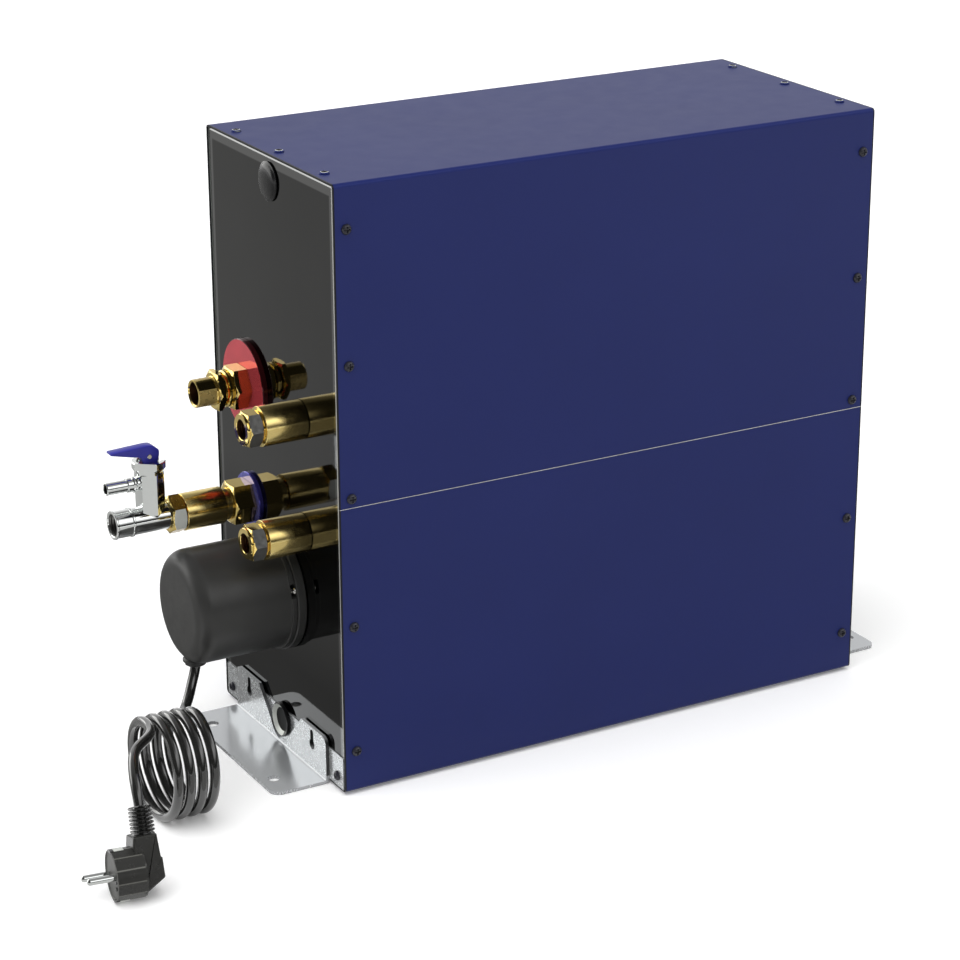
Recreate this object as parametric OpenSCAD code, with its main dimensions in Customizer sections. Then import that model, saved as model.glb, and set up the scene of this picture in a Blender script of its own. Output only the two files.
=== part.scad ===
// Marine water heater: a small mains-powered boat boiler in folded sheet covers, with its hot and cold
// fittings, two coolant stubs, a safety valve with a lever, a round element cover and a coiled mains lead.
// X runs along the housing (the fittings are on -X), Y across it, Z up from the underside of its feet.

/* [Housing] */
// Length of the sheet housing
case_l = 447; // [380:1:700]
// Depth of the sheet housing
case_d = 203; // [190:1:300]
// Height of the sheet housing
case_h = 450; // [400:1:600]
// Thickness of the painted cover sheet
sheet_t = 1; // [0.8:0.1:2]
// Outside bend radius of the covers
cover_bend_r = 3; // [2:0.5:6]
// How far the seam between the covers lies below the middle of the housing
seam_drop = 7; // [6:0.5:30]
// Thickness of the polished end panels
panel_t = 1; // [0.8:0.1:1.5]
// How far an end panel lies inside the covers' ends
panel_inset = 1; // [0.9:0.1:2]
// Outside bend radius of the end panels
panel_bend_r = 2.5; // [1.5:0.5:4]
// How far the end panels' edges turn in under the covers
panel_lip = 18; // [14:1:25]
// Thickness of the galvanised tray
tray_t = 0.8; // [0.6:0.1:1]
// Height of the tray's upturned ends
tray_lip_h = 25; // [24:1:32]

/* [Cover screws] */
// Head diameter of the screws
screw_head_d = 7.5; // [6:0.5:9]
// Head height of the screws
screw_head_h = 2.2; // [1.5:0.1:3]
// Distance of the screw columns from the housing's ends
screw_inset = 9.5; // [8:0.5:14]
// Distance of a column's end screws from the covers' top and underside
screw_end_z = 31.6; // [30:0.1:40]
// Distance of the top's outer screws from the front and the back
top_screw_inset = 31; // [25:0.5:40]
// Distance of the tray's screws from the front and the back
tray_screw_inset = 12.1; // [11:0.1:14]
// Height of the tray's screws above the covers' underside
tray_screw_z = 9.3; // [8:0.1:12]

/* [Feet] */
// Thickness of the foot brackets
foot_t = 2.5; // [2:0.5:4]
// Width of the foot brackets
foot_w = 152.5; // [140:0.5:180]
// How far a foot's flange reaches out
foot_reach = 45; // [42:1:60]
// Height of the feet's upright tabs
foot_h = 36; // [34:1:40]
// Outside bend radius of the feet
foot_bend_r = 4; // [3.5:0.5:6]
// Corner radius of the feet's flanges
foot_corner_r = 8; // [4:1:12]
// Diameter of the bolt holes in the feet
foot_hole_d = 9; // [7:0.5:11]
// Distance between a foot's bolt holes
foot_hole_pitch = 107; // [95:1:120]
// Distance of the bolt holes from the housing's end
foot_hole_out = 34; // [30:1:36]
// Width of the notch at the top of a foot
notch_top_w = 74; // [66:1:80]
// Radius of the notch round the drain plug
notch_r = 17; // [15.5:0.5:19]
// Corner radius of the feet's tabs
tab_r = 6; // [3:0.5:8]
// Diameter of the keyholes' round part
keyhole_d = 8; // [6:0.5:9]
// Width of the keyholes' slot
keyhole_w = 5; // [3:0.5:5.5]
// Length of the keyholes' slot
keyhole_len = 9; // [6:0.5:10]

/* [Plugs] */
// Distance of the round plug near the top of the fitting end from the covers' top
top_plug_drop = 20; // [18:0.5:40]
// Diameter of that plug's rim
top_plug_d = 28.5; // [24:0.5:30]
// Height of the drain plug above the covers' underside
drain_z = 18; // [17:0.5:19]
// Diameter of the drain plug
drain_d = 26.5; // [24:0.5:27]

/* [Water fittings] */
// Sideways place of the hot outlet and the cold inlet
water_y = 46; // [40:1:50]
// Height of the hot outlet above the covers' underside
hot_z = 267.5; // [255:0.5:330]
// Height of the cold inlet above the covers' underside
cold_z = 178.5; // [172:0.5:185]
// Diameter of the 1/2 inch pipe thread
thread_d = 20.96; // [20.9:0.01:21]
// Length of the outlet's thread
thread_len = 15; // [12:0.5:20]
// Bore of the hot outlet
outlet_bore_d = 15.6; // [12:0.1:16]
// Diameter of the red disc
hot_disc_d = 69; // [60:1:72]
// Diameter of the blue disc
cold_disc_d = 42; // [38:1:46]
// Thickness of the red disc
hot_disc_t = 4; // [2:0.5:5]
// Thickness of the blue disc
cold_disc_t = 3; // [2:0.5:4]
// Distance across the flats of the large nuts
nut_af = 29.6; // [28:0.1:32]
// Thickness of the hot outlet's large nut
hot_nut_t = 11.9; // [10:0.1:14]
// Thickness of the cold inlet's large nut
cold_nut_t = 16; // [14:0.1:18]
// Distance across the flats of the hot outlet's small hexagon
union_af = 27.6; // [26:0.1:29]
// Diameter of the cold inlet's sleeve
sleeve_d = 27.8; // [26:0.1:30]
// Length of the cold inlet's sleeve
sleeve_len = 32; // [28:0.5:36]

/* [Coolant stubs] */
// Sideways place of the coolant stubs
stub_y = -41; // [-45:1:-38]
// Height of the upper coolant stub above the covers' underside
stub_high_z = 267; // [255:0.5:300]
// Height of the lower coolant stub above the covers' underside
stub_low_z = 181.5; // [178:0.5:190]
// Diameter of the coolant stubs' tubes
stub_d = 29; // [26:0.5:30]
// Bore of the coolant stubs
stub_bore_d = 13.2; // [12:0.1:14]
// Distance across the flats of the stubs' collars
stub_af = 23.6; // [22.6:0.1:25]
// How far the coolant stubs stand out of the end panel
stub_len = 46; // [40:1:55]
// Length of the stubs' hexagon collars
stub_collar_len = 13.5; // [11:0.5:16]

/* [Safety valve] */
// Length of the valve's body along the pipe
valve_len = 42.8; // [40:0.1:50]
// Diameter of the valve's pipe body
valve_pipe_d = 20; // [19.5:0.1:21]
// Length of the valve's open socket
socket_len = 16; // [12:0.5:17]
// Bore of the valve's socket
valve_bore_d = 16; // [12:0.1:16.4]
// Diameter of the valve's upright barrel
barrel_d = 24; // [23:0.1:25]
// Distance between the flats of the barrel
barrel_flats = 19.8; // [18:0.1:22]
// Height of the barrel's top above the pipe's axis
barrel_h = 36; // [34:0.5:38]
// Diameter of the castellated collar
collar_d = 28; // [27:0.1:30]
// Height of the castellated collar
collar_h = 11; // [10.5:0.5:13]
// Height of the hose tail above the pipe's axis
tail_z = 28.5; // [20:0.1:30]
// Length of the hose tail outside the barrel
tail_len = 22.2; // [20:0.1:28]
// Diameter of the hose tail
tail_d = 9.2; // [8:0.1:10]
// Bore of the hose tail
tail_bore_d = 6; // [5:0.1:6.4]
// Width of the blue lever
lever_w = 8.6; // [8:0.1:10]
// Reach of the lever from its pin
lever_reach = 30.5; // [28:0.5:36]
// Height of the lever's pin above the barrel's top
pin_up = 7.5; // [7:0.1:8.5]
// Diameter of the lever's pin
pin_d = 3; // [2.5:0.1:3.5]

/* [Element cover] */
// Height of the heating element above the covers' underside
element_z = 124; // [118:1:128]
// Diameter of the element's cover
element_d = 84.5; // [78:0.5:86]
// How far the element's cover stands out of its base
element_len = 75; // [70:1:85]
// Edge radius of the element's cover
element_edge_r = 13; // [10:1:16]
// Diameter of the element's base ring
element_base_d = 90; // [88:1:96]
// Thickness of the element's base ring
element_base_t = 7; // [5:0.5:10]
// Diameter of the cable gland under the cover
gland_d = 15.5; // [14:0.5:18]
// Distance of the gland from the end panel
gland_out = 70; // [60:1:74]

/* [Mains lead] */
// Diameter of the mains lead
cord_d = 7.4; // [7:0.1:8]
// Outside diameter of the coil
coil_d = 78; // [75:1:84]
// Diameter of the mains plug
plug_d = 36; // [35.5:0.1:37.5]
// Length of the mains plug's body
plug_len = 34; // [32:0.5:38]
// Length of the plug's strain relief
relief_len = 25; // [22:1:28]
// Diameter of the strain relief at the plug
relief_root_d = 17; // [15:0.5:18]
// Diameter of the strain relief at its tip
relief_tip_d = 16; // [12:0.5:16]
// Diameter of the plug's pins
plug_pin_d = 4.8; // [4:0.1:5]
// Length of the plug's pins
plug_pin_len = 19; // [17:0.1:20]
// Distance between the plug's pins
plug_pin_pitch = 19; // [18:0.5:20]
// Lean of the plug's cable exit away from upright
plug_lean = 20; // [15:1:30]

/* [Hidden] */
$fn = 64;

fit = 0.2;                              // clearance between pieces that seat on each other
case_z = foot_t;                        // underside of the covers
case_top = case_z + case_h;
seam_z = case_h / 2 - seam_drop;
screw_pitch = (case_h - 2 * screw_end_z) / 4;
end_x = case_l / 2;                     // the covers' ends
panel_x = end_x - panel_inset;          // outside face of an end panel
base_x = -panel_x - fit;                // where the fittings seat on the left panel
core_d = case_d - 2 * (sheet_t + panel_t + 2 * fit);
tray_top = case_z + sheet_t + fit + tray_t;
core_low = tray_top + panel_t + 2 * fit;
thread_r = thread_d / 2;
hot_nut_x = base_x - hot_disc_t - fit;  // seat of the hot outlet's nut
cold_nut_x = base_x - cold_disc_t - fit;
union_neck_len = 6.2;
union_hex_t = 5.8;
sleeve_gap = 5.5;                       // the neck that shows between the cold nut and its sleeve
sleeve_x = cold_nut_x - cold_nut_t - sleeve_gap;
valve_nut_len = 11;
valve_nut_af = 26;
valve_nut_x = sleeve_x - sleeve_len - fit;
valve_x = valve_nut_x - valve_nut_len - fit;
valve_z = case_z + cold_z;
barrel_x = valve_x - barrel_d / 2 - 0.3;
barrel_top = valve_z + barrel_h;
element_x = base_x - element_base_t - fit;
gland_x = -panel_x - gland_out;
gland_len = 2;
boss_z = case_z + element_z - element_d / 2 - 1;    // underside of the cover's boss for the gland
coil_r = (coil_d - cord_d) / 2;         // centre line of the coil
coil_pitch = 9.2;
coil_turns = 4;
coil_x = -340.6;                        // middle of the coil
coil_y = -65.6;
coil_z = coil_d / 2;                    // the coil rests on the floor
plug_face = [-428.5, -160.5];           // middle of the plug's pin face in plan
plug_turn = 8;                          // the plug's turn away from the X direction
plug_cable_x = 25;                      // the cable's exit behind the pin face
grip_d = plug_d - 1;                    // the plug's grip behind its cap
// The lead's two free stretches: from the gland to the coil, and from the coil to the plug.
upper_route = [[-292.5, 0, 80.3], [-293.4, -0.3, 75.5], [-296, -2, 70.5], [-300.5, -6.5, 63], [-306, -13, 58],
    [-312, -21, 56], [-317, -30, 57], [-320.5, -38.5, 61], [-322, -47, 67], [-322.2, -55.5, 72],
    [-322.2, -65.6, 74.3]];
lower_route = [[-359, -65.6, 74.3], [-361, -74.5, 75], [-364.5, -83, 76], [-370, -91.5, 77.5],
    [-376.5, -98.5, 78.5], [-384, -106, 79], [-391, -116.5, 78.5], [-396, -128, 76.5],
    [-399.5, -138, 72.5], [-401.2, -145.5, 66], [-401.7, -149.3, 58.7]];

// a box with its X edges rounded, from x = 0
module rounded_bar(len, d, h, r) {
    rotate([90, 0, 90]) linear_extrude(len) square_round(d, h, r);
}

// a rectangle centred on X and standing on Y = 0, with true arcs at its corners
module square_round(w, h, r) {
    translate([-w / 2 + r, 0]) square([w - 2 * r, h]);
    translate([-w / 2, r]) square([w, h - 2 * r]);
    for (x = [-w / 2 + r, w / 2 - r], y = [r, h - r]) translate([x, y]) circle(r);
}

// outline of the folded sheet in the YZ plane
module sheet_ring() {
    difference() {
        square_round(case_d, case_h, cover_bend_r);
        translate([0, sheet_t]) square_round(case_d - 2 * sheet_t, case_h - 2 * sheet_t, cover_bend_r - sheet_t);
    }
}

// the part of the folded sheet between two heights, extruded along the housing
module folded_cover(low, high) {
    translate([-end_x, 0, case_z]) rotate([90, 0, 90]) linear_extrude(case_l)
        intersection() {
            sheet_ring();
            translate([-case_d, low]) square([2 * case_d, high - low]);
        }
}

module upper_cover() {
    color("midnightblue") folded_cover(seam_z + fit, case_h);
}

module lower_cover() {
    color("midnightblue") folded_cover(0, seam_z - fit);
}

module insulated_core() {
    core_l = 2 * (panel_x - panel_t - panel_bend_r);
    core_h = case_top - sheet_t - panel_t - 3 * fit - core_low;
    color("khaki") translate([-core_l / 2, 0, core_low]) rounded_bar(core_l, core_d, core_h, panel_bend_r);
}

module base_tray() {
    w = case_d - 2 * cover_bend_r;
    color("silver") {
        translate([-end_x, -w / 2, tray_top - tray_t]) cube([case_l, w, tray_t]);
        for (s = [0, 1]) mirror([s, 0, 0])
            translate([-end_x, -w / 2, tray_top - tray_t]) cube([tray_t, w, tray_lip_h]);
    }
}

// a shallow pan whose edges turn in along the housing
module end_pan() {
    w = case_d - 2 * (sheet_t + fit);
    h = case_h - 2 * sheet_t - 3 * fit - tray_t;
    translate([-panel_x, 0, tray_top + fit]) difference() {
        pan_block(panel_lip, w, h, panel_bend_r);
        translate([panel_t, 0, panel_t])
            pan_block(panel_lip, w - 2 * panel_t, h - 2 * panel_t, panel_bend_r - panel_t);
    }
}

// a block with round edges towards -X
module pan_block(len, w, h, r) {
    translate([r, 0, 0]) rounded_bar(len - r, w, h, r);
    translate([0, 0, r]) rounded_bar(len, w - 2 * r, h - 2 * r, r / 4);
    for (y = [-w / 2 + r, w / 2 - r]) translate([r, y, r]) cylinder(h = h - 2 * r, r = r);
    for (z = [r, h - r]) translate([r, w / 2 - r, z]) rotate([90, 0, 0]) cylinder(h = w - 2 * r, r = r);
    for (y = [-w / 2 + r, w / 2 - r], z = [r, h - r]) translate([r, y, z]) sphere(r);
}

module end_panel_left() {
    color("dimgray") end_pan();
}

module end_panel_right() {
    color("dimgray") mirror([1, 0, 0]) end_pan();
}

// outline of a foot's upright part, in YZ: two tabs and the notch between them
module foot_upright() {
    notch_z = case_z + drain_z;
    difference() {
        union() {
            translate([-foot_w / 2, foot_bend_r]) square([foot_w, foot_h - foot_bend_r - tab_r]);
            translate([-foot_w / 2 + tab_r, foot_h - 2 * tab_r]) square([foot_w - 2 * tab_r, 2 * tab_r]);
            for (y = [-foot_w / 2 + tab_r, foot_w / 2 - tab_r]) translate([y, foot_h - tab_r]) circle(tab_r);
        }
        translate([0, notch_z]) circle(notch_r);
        polygon([[-notch_r * 0.93, notch_z - notch_r * 0.36], [notch_r * 0.93, notch_z - notch_r * 0.36],
            [notch_top_w / 2, foot_h + 1], [-notch_top_w / 2, foot_h + 1]]);
        for (s = [-1, 1]) translate([s * foot_hole_pitch / 2, notch_z + 2]) keyhole();
    }
}

// a round hole with a narrow slot above it
module keyhole() {
    circle(d = keyhole_d);
    translate([-keyhole_w / 2, 0]) square([keyhole_w, keyhole_len]);
    translate([0, keyhole_len]) circle(d = keyhole_w);
}

// a bent bracket: an upright with tabs against the housing and a flange with two bolt holes
module foot_bracket() {
    out_x = -end_x - fit;
    color("silver") {
        translate([out_x - foot_t, 0, 0]) rotate([90, 0, 90]) linear_extrude(foot_t) foot_upright();
        translate([out_x - foot_bend_r, foot_w / 2, foot_bend_r]) rotate([90, 0, 0])
            intersection() {
                difference() {
                    cylinder(h = foot_w, r = foot_bend_r);
                    translate([0, 0, -1]) cylinder(h = foot_w + 2, r = foot_bend_r - foot_t);
                }
                translate([0, -foot_bend_r, 0]) cube([foot_bend_r, foot_bend_r, foot_w]);
            }
        difference() {
            foot_flange(out_x);
            for (y = [-foot_hole_pitch / 2, foot_hole_pitch / 2])
                translate([-end_x - foot_hole_out, y, -1]) cylinder(h = foot_t + 2, d = foot_hole_d);
        }
    }
}

module foot_flange(out_x) {
    tip = -end_x - foot_reach;
    linear_extrude(foot_t) {
        translate([tip + foot_corner_r, -foot_w / 2])
            square([out_x - foot_bend_r - tip - foot_corner_r, foot_w]);
        translate([tip, -foot_w / 2 + foot_corner_r]) square([2 * foot_corner_r, foot_w - 2 * foot_corner_r]);
        for (y = [-foot_w / 2 + foot_corner_r, foot_w / 2 - foot_corner_r])
            translate([tip + foot_corner_r, y]) circle(foot_corner_r);
    }
}

module foot_bracket_left() {
    foot_bracket();
}

module foot_bracket_right() {
    mirror([1, 0, 0]) foot_bracket();
}

// turns a shape that stands on Z = 0 so that it points along -X from the given place
module facing_left(x, y, z) {
    translate([x, y, z]) rotate([0, -90, 0]) children();
}

module top_hole_plug() {
    rim = 1.2;
    color([0.2, 0.2, 0.2]) facing_left(base_x, 0, case_top - top_plug_drop)
        rotate_extrude() polygon(concat([[0, 0], [top_plug_d / 2, 0], [top_plug_d / 2, rim]],
            [for (a = [0:15:90]) [(top_plug_d / 2 - 1) * cos(a), rim + 2.6 * sin(a)]]));
}

module drain_plug() {
    r = drain_d / 2;
    color([0.2, 0.2, 0.2]) facing_left(-end_x - fit, 0, case_z + drain_z)
        rotate_extrude() polygon([[0, 0], [r, 0], [r, 2.2], [r - 0.8, 3], [r - 2, 3], [r - 2.8, 1], [0, 1]]);
}

// a pan head standing on Z = 0
module pan_head(d) {
    rotate_extrude() polygon(concat([[0, 0], [d / 2, 0]],
        [for (a = [15:15:90]) [d / 2 * (0.35 + 0.65 * cos(a)) * (a < 90 ? 1 : 0), screw_head_h * sin(a)]]));
}

module side_screws(turn) {
    for (x = [-end_x + screw_inset, end_x - screw_inset], i = [0:4])
        rotate([0, 0, turn]) translate([x, -case_d / 2 - fit, case_z + screw_end_z + i * screw_pitch])
            rotate([90, 0, 0]) pan_head(screw_head_d);
}

module front_cover_screws() {
    color("darkslategray") side_screws(0);
}

module back_cover_screws() {
    color("darkslategray") side_screws(180);
}

module top_cover_screws() {
    color("midnightblue")
        for (x = [-end_x + screw_inset, end_x - screw_inset], i = [-1:1])
            translate([x, i * (case_d / 2 - top_screw_inset), case_top + fit]) pan_head(screw_head_d);
}

module tray_screws() {
    color("darkslategray") for (s = [0, 1], side = [-1, 1])
        mirror([s, 0, 0]) facing_left(-end_x - fit, side * (case_d / 2 - tray_screw_inset), case_z + tray_screw_z)
            pan_head(screw_head_d);
}

// a hexagon nut on Z = 0 with flats above and below, and a chamfered outer face
module hex_nut(af, t, chamfer, bore) {
    rc = af / sqrt(3);
    difference() {
        intersection() {
            rotate([0, 0, 30]) cylinder(h = t, r = rc, $fn = 6);
            rotate_extrude() polygon([[0, 0], [rc + 1, 0], [rc + 1, t - chamfer], [rc - 2 * chamfer, t], [0, t]]);
        }
        if (bore > 0) translate([0, 0, -1]) cylinder(h = t + 2, d = bore);
    }
}

module round_disc(d, t) {
    edge = 0.6;
    rotate_extrude() polygon([[0, 0], [d / 2, 0], [d / 2, t - edge], [d / 2 - edge, t], [0, t]]);
}

module hot_disc() {
    color("crimson") facing_left(base_x, water_y, case_z + hot_z) round_disc(hot_disc_d, hot_disc_t);
}

module cold_disc() {
    color("mediumblue") facing_left(base_x, water_y, case_z + cold_z) round_disc(cold_disc_d, cold_disc_t);
}

module hot_nut() {
    color("gold") facing_left(hot_nut_x, water_y, case_z + hot_z) hex_nut(nut_af, hot_nut_t, 1.6, 0);
}

module cold_nut() {
    color("gold") facing_left(cold_nut_x, water_y, case_z + cold_z) hex_nut(nut_af, cold_nut_t, 1.6, 0);
}

// the union: a neck, a small hexagon and the threaded outlet
module hot_outlet() {
    neck_x = hot_nut_x - hot_nut_t - fit;
    color("gold") facing_left(neck_x, water_y, case_z + hot_z) difference() {
        union() {
            cylinder(h = union_neck_len + 1, d = union_af - 3);
            translate([0, 0, union_neck_len]) hex_nut(union_af, union_hex_t, 1.2, 0);
            translate([0, 0, union_neck_len + 1]) cylinder(h = thread_len + union_hex_t - 1, r = thread_r);
        }
        translate([0, 0, 3]) cylinder(h = 60, d = outlet_bore_d);
    }
}

module cold_sleeve() {
    color("gold") facing_left(cold_nut_x - cold_nut_t - fit, water_y, case_z + cold_z) {
        cylinder(h = sleeve_gap - fit, d = sleeve_d - 4);
        translate([0, 0, sleeve_gap - fit]) cylinder(h = sleeve_len, d = sleeve_d);
    }
}

module coolant_tube(z) {
    color("gold") facing_left(base_x, stub_y, case_z + z) difference() {
        cylinder(h = stub_len - stub_collar_len, d = stub_d);
        translate([0, 0, 3]) cylinder(h = stub_len, d = stub_bore_d);
    }
}

module coolant_collar(z) {
    color("gold") facing_left(base_x - stub_len + stub_collar_len - fit, stub_y, case_z + z)
        hex_nut(stub_af, stub_collar_len - fit, 1.2, stub_bore_d);
}

module coolant_tube_upper() {
    coolant_tube(stub_high_z);
}

module coolant_collar_upper() {
    coolant_collar(stub_high_z);
}

module coolant_tube_lower() {
    coolant_tube(stub_low_z);
}

module coolant_collar_lower() {
    coolant_collar(stub_low_z);
}

module valve_nut() {
    color("gold") facing_left(valve_nut_x, water_y, valve_z) hex_nut(valve_nut_af, valve_nut_len, 1, 0);
}

// the pipe body with its open socket, and the flat-sided barrel that stands on it
module valve_body() {
    pipe_r = valve_pipe_d / 2;
    neck = valve_len - socket_len;
    color("gainsboro") difference() {
        union() {
            facing_left(valve_x, water_y, valve_z) rotate_extrude()
                polygon([[0, 0], [pipe_r, 0], [pipe_r, neck - 1.6], [pipe_r + 0.9, neck - 1.6], [pipe_r + 0.9, neck],
                    [pipe_r + 0.2, neck], [pipe_r + 0.2, valve_len - 1.6], [pipe_r + 0.7, valve_len - 1.6],
                    [pipe_r + 0.7, valve_len], [0, valve_len]]);
            translate([barrel_x, water_y, valve_z]) intersection() {
                cylinder(h = barrel_h, d = barrel_d);
                translate([-barrel_d, -barrel_flats / 2, 0]) cube([2 * barrel_d, barrel_flats, barrel_h]);
            }
        }
        facing_left(valve_x - valve_len + socket_len, water_y, valve_z)
            cylinder(h = valve_len, d = valve_bore_d);
    }
}

// ring on the barrel's top with battlements, cut through along the pipe for the lever
module valve_collar() {
    wall = 3.4;
    floor_t = 1;
    color("gainsboro") translate([barrel_x, water_y, barrel_top + fit]) difference() {
        cylinder(h = collar_h, d = collar_d);
        translate([0, 0, -1]) cylinder(h = collar_h + 2, d = collar_d - 2 * wall);
        translate([-collar_d, -lever_w / 2 - 1, floor_t]) cube([collar_d * 2, lever_w + 2, collar_h]);
        for (a = [60, 120, 240, 300]) rotate([0, 0, a])
            translate([collar_d / 2 - wall - 1, -1.5, collar_h - 3]) cube([2 * wall, 3, 4]);
        translate([0, collar_d, pin_up - fit]) rotate([90, 0, 0]) cylinder(h = 2 * collar_d, d = pin_d + 0.1);
    }
}

module valve_hose_tail() {
    boss_r = tail_d / 2 + 1;
    color("gainsboro") facing_left(barrel_x - barrel_d / 2 - fit, water_y, valve_z + tail_z) difference() {
        rotate_extrude() polygon([[0, 0], [boss_r + 1, 0], [boss_r, 2], [boss_r, 6], [tail_d / 2, 7],
            [tail_d / 2, tail_len], [0, tail_len]]);
        translate([0, 0, 3]) cylinder(h = tail_len, d = tail_bore_d);
    }
}

module lever_pin() {
    pin_len = collar_d - 3;
    color("silver") translate([barrel_x, water_y + pin_len / 2, barrel_top + pin_up]) rotate([90, 0, 0])
        cylinder(h = pin_len, d = pin_d);
}

// a flat hand lever, drawn from its side round its pin and as wide as lever_w
module valve_lever() {
    color("mediumblue") translate([barrel_x, water_y + lever_w / 2, barrel_top + pin_up]) rotate([90, 0, 0])
        difference() {
            linear_extrude(lever_w) polygon([[-lever_reach, 11], [-lever_reach, 12.7], [-2, 14], [2, 13.5],
                [7, 9.5], [7, 5.5], [4.5, -2.8], [-4.5, -2.8], [-7, 5.6], [-14, 7]]);
            translate([0, 0, -1]) cylinder(h = lever_w + 2, d = pin_d + 0.1);
        }
}

module element_base() {
    color([0.2, 0.2, 0.2]) facing_left(base_x, 0, case_z + element_z)
        rotate_extrude() polygon([[0, 0], [element_base_d / 2, 0], [element_base_d / 2, element_base_t - 1.5],
            [element_base_d / 2 - 1.5, element_base_t], [0, element_base_t]]);
}

module element_cover() {
    r = element_d / 2;
    e = element_edge_r;
    pocket_h = 10;
    color([0.2, 0.2, 0.2]) {
        difference() {
            facing_left(element_x, 0, case_z + element_z) rotate_extrude()
                polygon(concat([[0, 0], [r, 0]], [for (a = [0:10:90])
                    [r - e + e * cos(a), element_len - e + e * sin(a)]], [[0, element_len + 0.5]]));
            at_element_screws() translate([0, 0, -1]) cylinder(h = pocket_h + 1, d = 9);
        }
        translate([gland_x, 0, boss_z]) cylinder(h = r / 2, d = gland_d + 3);
    }
}

// places children at the three screws between the cover and its base
module at_element_screws() {
    screw_r = element_d / 2 - 2;
    for (a = [42, 162, 282])
        facing_left(element_x, screw_r * cos(a), case_z + element_z + screw_r * sin(a)) children();
}

module element_screws() {
    color("silver") at_element_screws() pan_head(6);
}

module cable_gland() {
    color([0.2, 0.2, 0.2]) translate([gland_x, 0, boss_z - gland_len - fit]) cylinder(h = gland_len, d = gland_d);
}

// unit vector along a
function unit(a) = a / norm(a);

// direction of a route at point i
function heading(p, i) = unit(p[min(i + 1, len(p) - 1)] - p[max(i - 1, 0)]);

// ring of n points round point i of a route
function ring(p, i, r, n) =
    let (t = heading(p, i), s = unit(cross(t, [1, -0.5, 0])), u = cross(s, t))
    [for (k = [0:n - 1]) p[i] + r * (s * cos(360 * k / n) + u * sin(360 * k / n))];

// a closed tube along a route
module tube(p, d, n = 8) {
    m = len(p);
    points = [for (i = [0:m - 1]) each ring(p, i, d / 2, n)];
    sides = [for (i = [0:m - 2], k = [0:n - 1])
        [i * n + k, i * n + (k + 1) % n, (i + 1) * n + (k + 1) % n, (i + 1) * n + k]];
    start = [for (k = [n - 1:-1:0]) k];
    end = [for (k = [0:n - 1]) (m - 1) * n + k];
    polyhedron(points, concat([start], sides, [end]));
}

module cord_upper() {
    color([0.2, 0.2, 0.2]) tube(upper_route, cord_d);
}

module cord_lower() {
    color([0.2, 0.2, 0.2]) tube(lower_route, cord_d);
}

module cord_coil() {
    w = coil_turns * coil_pitch - cord_d - 4 * fit;
    color([0.2, 0.2, 0.2]) translate([coil_x - w / 2, coil_y, coil_z]) rotate([0, 90, 0]) rotate_extrude()
        translate([coil_r - cord_d / 2, 0]) square([cord_d, w]);
}

// places what is drawn with the pin face on Z = 0 and the cable exit along +Y
module plug_place() {
    translate([plug_face[0], plug_face[1], plug_d / 2]) rotate([90 - plug_lean, 0, -plug_turn])
        rotate([0, 90, 0]) children();
}

// a round cap with the pins, and a narrower grip behind it
module plug_body() {
    cap_t = 15;
    color([0.2, 0.2, 0.2]) plug_place() {
        cylinder(h = cap_t, d = plug_d);
        intersection() {
            cylinder(h = plug_len, d = grip_d);
            translate([-plug_d * 0.36, -plug_d, 0]) cube([plug_d * 0.72, 2 * plug_d, plug_len]);
        }
    }
}

module plug_pins() {
    color("silver") plug_place() for (x = [-plug_pin_pitch / 2, plug_pin_pitch / 2])
        translate([x, 0, -plug_pin_len]) cylinder(h = plug_pin_len - fit, d = plug_pin_d);
}

module plug_strain_relief() {
    color([0.2, 0.2, 0.2]) plug_place() translate([0, grip_d / 2 + fit, plug_cable_x]) rotate([-90, 0, 0])
        cylinder(h = relief_len, d1 = relief_root_d, d2 = relief_tip_d);
}

upper_cover();
lower_cover();
insulated_core();
base_tray();
end_panel_left();
end_panel_right();
foot_bracket_left();
foot_bracket_right();
top_hole_plug();
drain_plug();
front_cover_screws();
back_cover_screws();
top_cover_screws();
tray_screws();
hot_disc();
hot_nut();
hot_outlet();
cold_disc();
cold_nut();
cold_sleeve();
coolant_tube_upper();
coolant_collar_upper();
coolant_tube_lower();
coolant_collar_lower();
valve_nut();
valve_body();
valve_collar();
valve_hose_tail();
lever_pin();
valve_lever();
element_base();
element_cover();
element_screws();
cable_gland();
cord_upper();
cord_coil();
cord_lower();
plug_strain_relief();
plug_body();
plug_pins();
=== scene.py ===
# %% [markdown]
# # A boat's water heater, piece by piece
# The real object is a steel tank in foam, closed in by two folded, powder-coated covers, two polished end
# panels and a galvanised tray. All its plumbing leaves through the left end. We load the CAD model's solids,
# keep those whose shape is right, and make the rest again in finer detail.

# %% Load the solid model
import math
import numpy as np
import bpy
from mathutils import Matrix


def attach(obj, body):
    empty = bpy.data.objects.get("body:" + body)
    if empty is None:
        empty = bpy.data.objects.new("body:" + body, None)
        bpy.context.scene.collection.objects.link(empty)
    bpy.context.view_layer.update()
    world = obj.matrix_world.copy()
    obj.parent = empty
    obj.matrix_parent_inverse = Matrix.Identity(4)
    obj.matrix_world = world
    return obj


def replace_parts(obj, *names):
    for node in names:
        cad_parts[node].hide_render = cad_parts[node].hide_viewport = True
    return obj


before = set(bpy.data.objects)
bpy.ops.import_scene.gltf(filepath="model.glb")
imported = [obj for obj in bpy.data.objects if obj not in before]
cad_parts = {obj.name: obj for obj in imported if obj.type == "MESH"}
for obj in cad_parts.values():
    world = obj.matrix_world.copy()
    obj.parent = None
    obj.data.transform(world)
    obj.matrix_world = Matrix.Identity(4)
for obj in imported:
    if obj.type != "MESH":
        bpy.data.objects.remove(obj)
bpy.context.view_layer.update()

# %% [markdown]
# ## The camera
# A long lens from the front left, a little above the heater, keeps the housing's edges nearly parallel. Its
# three axes are worked out from its azimuth and elevation.

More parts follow.
